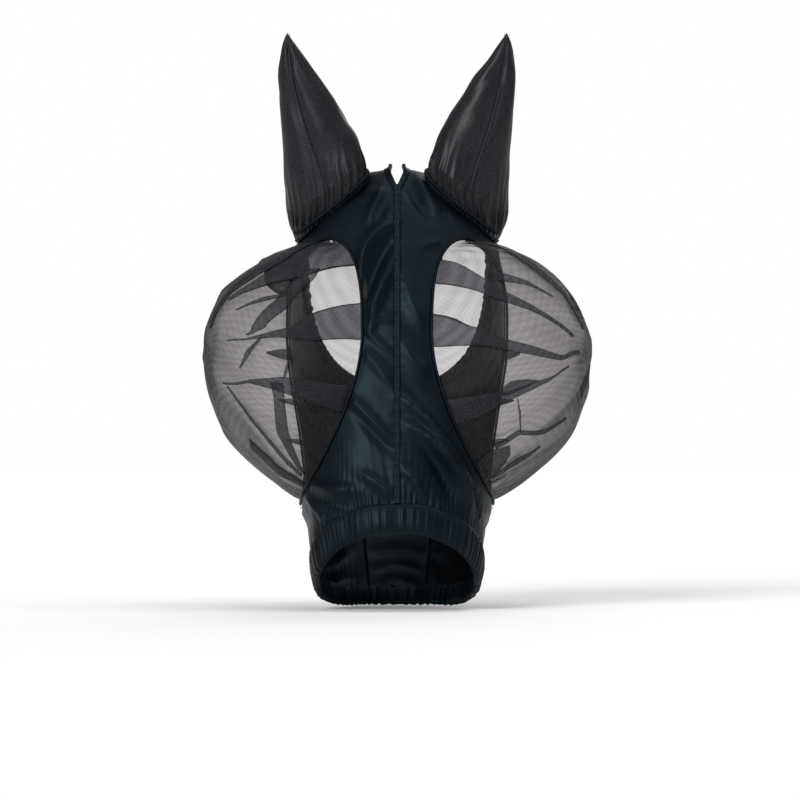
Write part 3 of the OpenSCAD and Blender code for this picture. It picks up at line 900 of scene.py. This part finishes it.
def pleat_strips(name):
    """Folded-over bands of net lying on the dome: each is a flat loop, so two more layers."""
    parts, uvs = [], []
    for upper, lower in PLEATS[name] + REAR_PLEATS:
        upper, lower = curve_points(upper, 56), curve_points(lower, 56)
        k = np.array([v for v, _ in PLEAT_PROFILE])
        lift = np.array([v for _, v in PLEAT_PROFILE])
        places = upper[:, None] + (lower - upper)[:, None] * k[None, :, None]
        rows, _ = dome_surface(places[..., 0], places[..., 1], name, np.broadcast_to(lift, places.shape[:2]))
        count, sides = rows.shape[:2]
        faces = grid_faces(count, sides, wrap=True)
        faces += [list(range(sides)), list(range(count * sides - 1, (count - 1) * sides - 1, -1))]
        parts.append((rows, faces))
        uvs.append(dome_plan(places).reshape(-1, 2))
    points, faces = merge(parts)
    return points, faces, np.concatenate(uvs)


def build_domes():
    """Each eye's net with its pleats, the cord round its rim and the stitches round the cord."""
    turns = turns_round(260)
    for name, side in SIDES.items():
        dome = make_mesh(f"eye_net_{name}", *dome_sheet(name), EYE_NET, flip=side < 0)
        mask_piece(dome, "eye_net", f"eye_mesh_{name}")
        pleats = make_mesh(f"eye_net_pleats_{name}", *pleat_strips(name), PLEATED_NET, flip=side > 0)
        mask_piece(pleats, "eye_net")
        rim, up = on_cloth(*eye_edge(turns, 1.004), side, 0.4)
        cord = make_mesh(f"eye_binding_cord_{name}", *tube(rim, 1.25, 8, True, up), None, BINDING)
        mask_piece(cord, "binding_cloth", f"eye_binding_{name}")
        row, _ = on_cloth(*eye_edge(turns, 1.045), side, 0.15)
        sewing = stitches(row, up, 3.2, 2.2, 0.26, closed=True)
        mask_piece(make_mesh(f"eye_stitches_{name}", *sewing, None, THREAD), "seam_thread")


build_domes()


# ---- Ear covers ----

EAR_TIP = np.array([EAR_HIGH[0] - 9, EAR_HIGH[2] + 2])
EAR_INNER = [(30, CROWN - 6), (37, CROWN + 40), (70, CROWN + 83), tuple(EAR_TIP)]
EAR_OUTER = [(104, CROWN - 70), (108, CROWN - 2), (130, CROWN + 108), tuple(EAR_TIP)]
EAR_LENGTH = 190
# Where the skirt ends and the cover starts, as a part of the ear's height.
BAND_END = 0.135


def ear(s, p):
    """A point on the right ear cover: s from base to tip, p 0 outside, 90 in front, 180 inside."""
    s, p = np.broadcast_arrays(np.asarray(s, float), np.asarray(p, float))
    i, o = bezier(EAR_INNER, s), bezier(EAR_OUTER, s)
    m, h = (i + o) / 2, (o - i) / 2
    c, sn = np.cos(np.radians(p)), np.sin(np.radians(p))
    y = (skin(EAR_MID, EAR_ANGLE)[1] - 4) * (1 - s) + 52 * s
    rest = np.clip(1 - s, 0, 1)
    depth = 31 * rest ** 0.62
    free = np.stack([m[..., 0] + h[..., 0] * c, y + 16 * rest ** 1.5 * c - depth * sn,
                     m[..., 1] + h[..., 1] * c - 15 * rest ** 4 * sn], -1)
    t, a = ear_edge(p, EAR_FOOT)
    sewn = off_skin(t, a, np.full(np.shape(t), CLOTH))
    risen = smooth(s / BAND_END)[..., None]
    return sewn * (1 - risen) + free * risen


def ear_normal(s, p):
    ahead, behind = np.minimum(s + 0.01, 0.999), np.maximum(s - 0.01, 0)
    return unit(np.cross(ear(s, p - 3) - ear(s, p + 3), ear(ahead, p) - ear(behind, p)))


def seam_angle(s):
    """Where the front seam runs round the ear: by its tip it is nearer the outer edge."""
    return 88 - 22 * smooth(s * 1.4)


def ear_lift(s, p, side):
    """How far the net stands off a smooth ear: sunk at the front seam, puffed by it, flared low down."""
    seam = seam_angle(s)
    off_seam = (p - seam + 180) % 360 - 180
    groove = -2.6 * np.exp(-(off_seam / 9) ** 2) * smooth((1 - s) / 0.15)
    puff = 1.8 * np.exp(-((off_seam + 34) / 22) ** 2) + 1.6 * np.exp(-((off_seam - 40) / 24) ** 2)
    from_outer = (p + 180) % 360 - 180
    flare = 4.5 * np.exp(-(from_outer / 42) ** 2 - ((s - 0.14) / 0.2) ** 2)
    folds = 1.5 * noise2(p / 26 + s * 3, s * 7, 81 + side) * smooth((1 - s) / 0.3)
    fade = np.exp(-(s - BAND_END) / 0.09)
    pleats = 1.2 * np.sin(np.radians(p) * 26 + 2.5 * noise2(p / 20, s * 6, 83 + side)) * fade
    return groove + puff * smooth((1 - s) / 0.5) + folds + pleats * smooth((s - 0.05) / 0.05) + flare


def ear_surface(s, p, side, lift=0.0):
    """Points on or above one side's finished ear cover, and the directions outward from it."""
    up = ear_normal(s, p)
    points = ear(s, p) + (ear_lift(s, p, side) + lift)[..., None] * up
    return points * [side, 1, 1], up * [side, 1, 1]


def ear_uv(s, p):
    """Flat millimetre places on an ear's net, from the middle of its front."""
    return np.stack([(p - 90) * 0.75 * (1 - 0.6 * s), s * EAR_LENGTH], -1)


def ear_cover(name, side):
    heights = np.concatenate([np.linspace(BAND_END, 0.93, 84), [0.945, 0.96, 0.972, 0.982, 0.99]])
    s, p = np.meshgrid(heights, turns_round(120), indexing="ij")
    points, _ = ear_surface(s, p, side)
    tip = (ear(np.array(1.0), np.array(0.0)) + [0, 0, 1.0]) * [side, 1, 1]
    points = np.vstack([points.reshape(-1, 3), tip])
    rows, cols = s.shape
    top = (rows - 1) * cols
    faces = grid_faces(rows, cols, wrap=True)
    faces += [[top + k, rows * cols, top + (k + 1) % cols] for k in range(cols)]
    uv = np.vstack([ear_uv(s, p).reshape(-1, 2), [0, EAR_LENGTH]])
    cover = make_mesh(f"ear_net_{name}", points, faces, uv, EAR_NET, flip=side > 0)
    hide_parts(f"ear_front_{name}", f"ear_back_{name}")
    return cover


def ear_seam(name, side):
    """The stitched cord up the front of an ear and the plain one up its back."""
    s = np.linspace(BAND_END + 0.004, 0.985, 90)
    front, front_up = ear_surface(s, seam_angle(s), side, 0.5)
    back, back_up = ear_surface(s, np.full(len(s), 250.0), side, 0.4)
    parts = [tube(front, 0.9, 8, False, front_up), tube(back, 0.8, 8, False, back_up),
             two_rows(front, front_up, 3.2, 2.2, 0.24, 2.6, -0.1)]
    seam = make_mesh(f"ear_seam_cord_{name}", *merge(parts), None, THREAD)
    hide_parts(f"ear_seam_{name}")
    return seam


def ear_skirt(name, side):
    """The gathered net below an ear cover, with its foot tucked into the mask's cloth."""
    turns = turns_round(300)
    s, p = np.meshgrid(np.linspace(0, BAND_END, 22), turns, indexing="ij")
    gather = 0.7 * np.sin(np.radians(p) * 38 + 4 * noise2(p / 15, s * 20, 91 + side))
    puff = 0.4 + 1.4 * np.sin(np.pi * np.clip(s / BAND_END, 0, 1)) + noise2(p / 22, s * 22, 95 + side)
    meet, risen = smooth(s / BAND_END), smooth(s / 0.03)
    lift = (puff + gather) * (1 - meet) * risen + ear_lift(s, p, side) * meet
    points = (ear(s, p) + lift[..., None] * ear_normal(s, p)) * [side, 1, 1]
    tucked = [on_cloth(*ear_edge(turns, EAR_FOOT + out), side, -0.5 - CLOTH)[0] for out in (0.07, 0.01)]
    points = np.concatenate([tucked, points])
    s, p = np.vstack([s[:1] - 0.02, s[:1] - 0.01, s]), np.vstack([p[:1], p[:1], p])
    faces = grid_faces(*s.shape, wrap=True)
    skirt = make_mesh(f"ear_band_net_{name}", points, faces, ear_uv(s, p), SKIRT_NET, flip=side > 0)
    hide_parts(f"ear_band_{name}")
    return skirt


def ear_cords(name, side):
    """The gathered cord round an ear's skirt, and the one that binds the skirt to the mask."""
    turns = turns_round(600)
    outer = np.exp(-(((turns + 180) % 360 - 180) / 30) ** 2)
    rib = 1 + 0.16 * np.sin(np.radians(turns) * 84 + 2 * noise2(turns / 20, turns * 0, 97))
    rib = rib * (1 - 0.55 * outer)
    s = np.full(len(turns), 0.07)
    up = ear_normal(s, turns)
    lift = 2.2 - 1.4 * outer + 0.6 * noise2(turns / 24, turns * 0, 99 + side)
    ring = (ear(s, turns) + lift[:, None] * up) * [side, 1, 1]
    band = tube(ring, 2.3 * rib, 10, True, up * [side, 1, 1])
    band = make_mesh(f"ear_band_cord_{name}", *band, None, BINDING)
    foot_ring, foot_up = on_cloth(*ear_edge(turns, EAR_FOOT + 0.03), side, 1.0)
    foot = tube(foot_ring, 1.7 * rib, 10, True, foot_up)
    foot = make_mesh(f"ear_foot_cord_{name}", *foot, None, BINDING)
    mask_piece(foot, "binding_cloth", f"ear_binding_{name}")
    return band


def ear_ring(s, side):
    turns = turns_round(120)
    s = np.full(len(turns), s)
    lift = ear_lift(s, turns, side) * smooth(s / BAND_END)
    return (ear(s, turns) + lift[:, None] * ear_normal(s, turns)) * [side, 1, 1]


def build_ears():
    """Both ears: each side's cover, seam, skirt and cords. The ring where skirt and cover meet and its plane
    are worked out, but nothing is bent by them; the pieces' transforms are baked into their meshes.
    """
    for name, side in SIDES.items():
        cover, seam = ear_cover(name, side), ear_seam(name, side)
        skirt, band = ear_skirt(name, side), ear_cords(name, side)
        join = ear_ring(BAND_END, side)
        middle = join.mean(0)
        up = np.linalg.svd(join - middle)[2][2]
        up = up * np.sign(up[2])
        base, join = (ear_ring(0.0, side) - middle) @ up, (join - middle) @ up
        for piece in (skirt, band):
            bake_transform(piece)
        for piece in (cover, seam):
            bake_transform(piece)


build_ears()


# ---- Seams and the forelock slit ----

def seam_line(angle, start, end, side, count=220):
    t = np.linspace(start, end, count)
    return on_cloth(t, np.full(count, float(angle)), side, 0.0)


def seam_tape(path, up, half, height):
    """A raised flat seam allowance along a path, rounded over its edges."""
    along = unit(np.gradient(path, axis=0))
    across = unit(np.cross(along, up))
    profile = [(-1, -0.6), (-1, 0.1), (-0.7, 0.75), (-0.25, 0.85), (0, 0.35),
               (0.25, 0.85), (0.7, 0.75), (1, 0.1), (1, -0.6)]
    rows = np.stack([path + across * half * x + up * height * z for x, z in profile], 1)
    count, sides = rows.shape[:2]
    uv = np.stack(np.broadcast_arrays(np.arange(sides)[None, :] * 1.0, np.arange(count)[:, None] * 1.5), -1)
    return rows, grid_faces(count, sides, wrap=True), uv


def build_seams():
    """The taped seams down the face and the jaw, and the plain ones below and above each eye."""
    path, up = seam_line(0, NOSE_HEM_TOP + 0.002, SLIT_START, 1)
    tape = make_mesh("centre_seam_tape", *seam_tape(path, up, 3.2, 0.9), LYCRA)
    mask_piece(tape, "stretch_cloth", "centre_seam")
    sewing = merge([two_rows(path, up, 3.0, 2.6, 0.3, 2.0, 0.75),
                    stitches(path, up, 2.2, 3.4, 0.24, slant=1.15, lift=0.8)])
    mask_piece(make_mesh("centre_seam_stitches", *sewing, None, THREAD), "seam_thread")
    for name, side in SIDES.items():
        path, up = seam_line(JAW_ANGLE, NOSE_HEM_TOP, NECK_HEM_TOP, side)
        tape = make_mesh(f"jaw_seam_tape_{name}", *seam_tape(path, up, 2.6, 0.8), LYCRA)
        mask_piece(tape, "stretch_cloth", f"jaw_seam_{name}")
        sewing = two_rows(path, up, 3.2, 2.4, 0.28, 1.6, 0.6)
        mask_piece(make_mesh(f"jaw_seam_stitches_{name}", *sewing, None, THREAD), "seam_thread")
        cheek = seam_line(EYE_ANGLE, NOSE_HEM_TOP, EYE_BOTTOM - 0.005, side, 60)
        brow = seam_line(EYE_ANGLE, EYE_TOP + 0.006, NECK_HEM_TOP, side, 110)
        sewing = merge([two_rows(*line, 3.2, 2.3, 0.26, 1.8, 0.1) for line in (cheek, brow)])
        mask_piece(make_mesh(f"cheek_seam_stitches_{name}", *sewing, None, THREAD), "seam_thread")


LIP_CORNER = 4.6


def build_slit():
    """The two turned lips of the forelock slit, each ending in a small corner that stands up."""
    t = np.linspace(SLIT_START - 0.004, SLIT_END + 0.002, 70)
    corner = np.exp(-(np.maximum(t - SLIT_CORNER, (SLIT_CORNER - t) * 0.6) / 0.015) ** 2)
    hook = np.exp(-((t - SLIT_CORNER - 0.012) / 0.01) ** 2)
    width = slit_width(t)
    base = CLOTH + crown_rise(t, width)

    def line(out, lift):
        return off_skin(t, angle_at(t, np.maximum(width + out, 0.05)), base + lift)

    edge = line(-0.4 - 3.0 * hook, 0.6 + LIP_CORNER * corner)
    edge[:, 0] += 2.4 * corner
    rows = np.stack([line(6.0, -1.2), line(3.6, -0.4), line(1.6, 0.2 + 1.6 * corner), edge,
                     line(-0.5, -2.2), line(3.0, -3.4)], 1)
    count, across = rows.shape[:2]
    uv = np.stack(np.broadcast_arrays(np.arange(across)[None, :] * 2.0, t[:, None] * FACE_LENGTH), -1)
    row, up = line(4.0, 0.3), skin_normal(t, np.zeros(count))
    for name, side in SIDES.items():
        sheet = make_mesh(f"forelock_lip_{name}", rows * [side, 1, 1], grid_faces(count, across), uv, LYCRA,
                          flip=side > 0)
        mask_piece(add_thickness(sheet, 0.8), "binding_cloth", f"forelock_binding_{name}")
        sewing = stitches(row * [side, 1, 1], up, 3.0, 2.0, 0.2, lift=0.1)
        mask_piece(make_mesh(f"forelock_stitches_{name}", *sewing, None, THREAD), "seam_thread")


build_seams()
build_slit()


# ---- Stage, light and camera ----

WORLD_LIGHT = 0.30
# Soft lamps: name, where the light comes from, strength, apparent size in degrees.
SUNS = [
    ("key", (-0.5, -1.0, 0.55), 2.4, 26),
    ("top", (0.35, -0.15, 1.0), 1.15, 60),
    ("back", (0.3, 1.0, 0.7), 0.9, 50),
]


FLOOR_REACH, FLOOR_GAP = 12.0, 0.002
SENSOR_WIDTH = 36
VIEW_WIDTH = 0.8
CAMERA_DISTANCE = 6.0
VIEW_MIDDLE = Vector((0.003, 0.03, 0.2))


def build_floor():
    reach, z = FLOOR_REACH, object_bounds()[0].z - FLOOR_GAP
    corners = [(-reach, -reach, z), (reach, -reach, z), (reach, reach, z), (-reach, reach, z)]
    mesh = bpy.data.meshes.new("floor")
    mesh.from_pydata(corners, [], [(0, 1, 2, 3)])
    mesh.materials.append(floor_material("floor_white", (0.9, 0.9, 0.9), 0.9))
    floor = bpy.data.objects.new("floor", mesh)
    bpy.context.scene.collection.objects.link(floor)


def build_world():
    """A studio that looks plain white to the camera but lights the mask only softly."""
    world = bpy.data.worlds.new("studio")
    world.use_nodes = True
    tree = world.node_tree
    seen = tree.nodes.new("ShaderNodeLightPath").outputs["Is Camera Ray"]
    shade = tree.nodes["Background"]
    shade.inputs[0].default_value = (1, 1, 1, 1)
    tree.links.new(mathn(tree, "MULTIPLY_ADD", seen, 1 - WORLD_LIGHT, WORLD_LIGHT), shade.inputs[1])
    bpy.context.scene.world = world
    bpy.context.scene.view_settings.view_transform = "Standard"


def build_lamps():
    for name, direction, strength, softness in SUNS:
        data = bpy.data.lights.new(name, "SUN")
        data.energy = strength
        data.angle = math.radians(softness)
        lamp = bpy.data.objects.new(name, data)
        lamp.rotation_euler = (-Vector(direction)).to_track_quat("-Z", "Y").to_euler()
        bpy.context.scene.collection.objects.link(lamp)


def build_camera():
    data = bpy.data.cameras.new("camera")
    data.sensor_width = SENSOR_WIDTH
    data.lens = SENSOR_WIDTH * CAMERA_DISTANCE / VIEW_WIDTH
    camera = bpy.data.objects.new("camera", data)
    camera.location = VIEW_MIDDLE + Vector((0, -CAMERA_DISTANCE, 0))
    camera.rotation_euler = (math.radians(90), 0, 0)
    bpy.context.scene.collection.objects.link(camera)
    bpy.context.scene.camera = camera


build_floor()
build_world()
build_lamps()
build_camera()
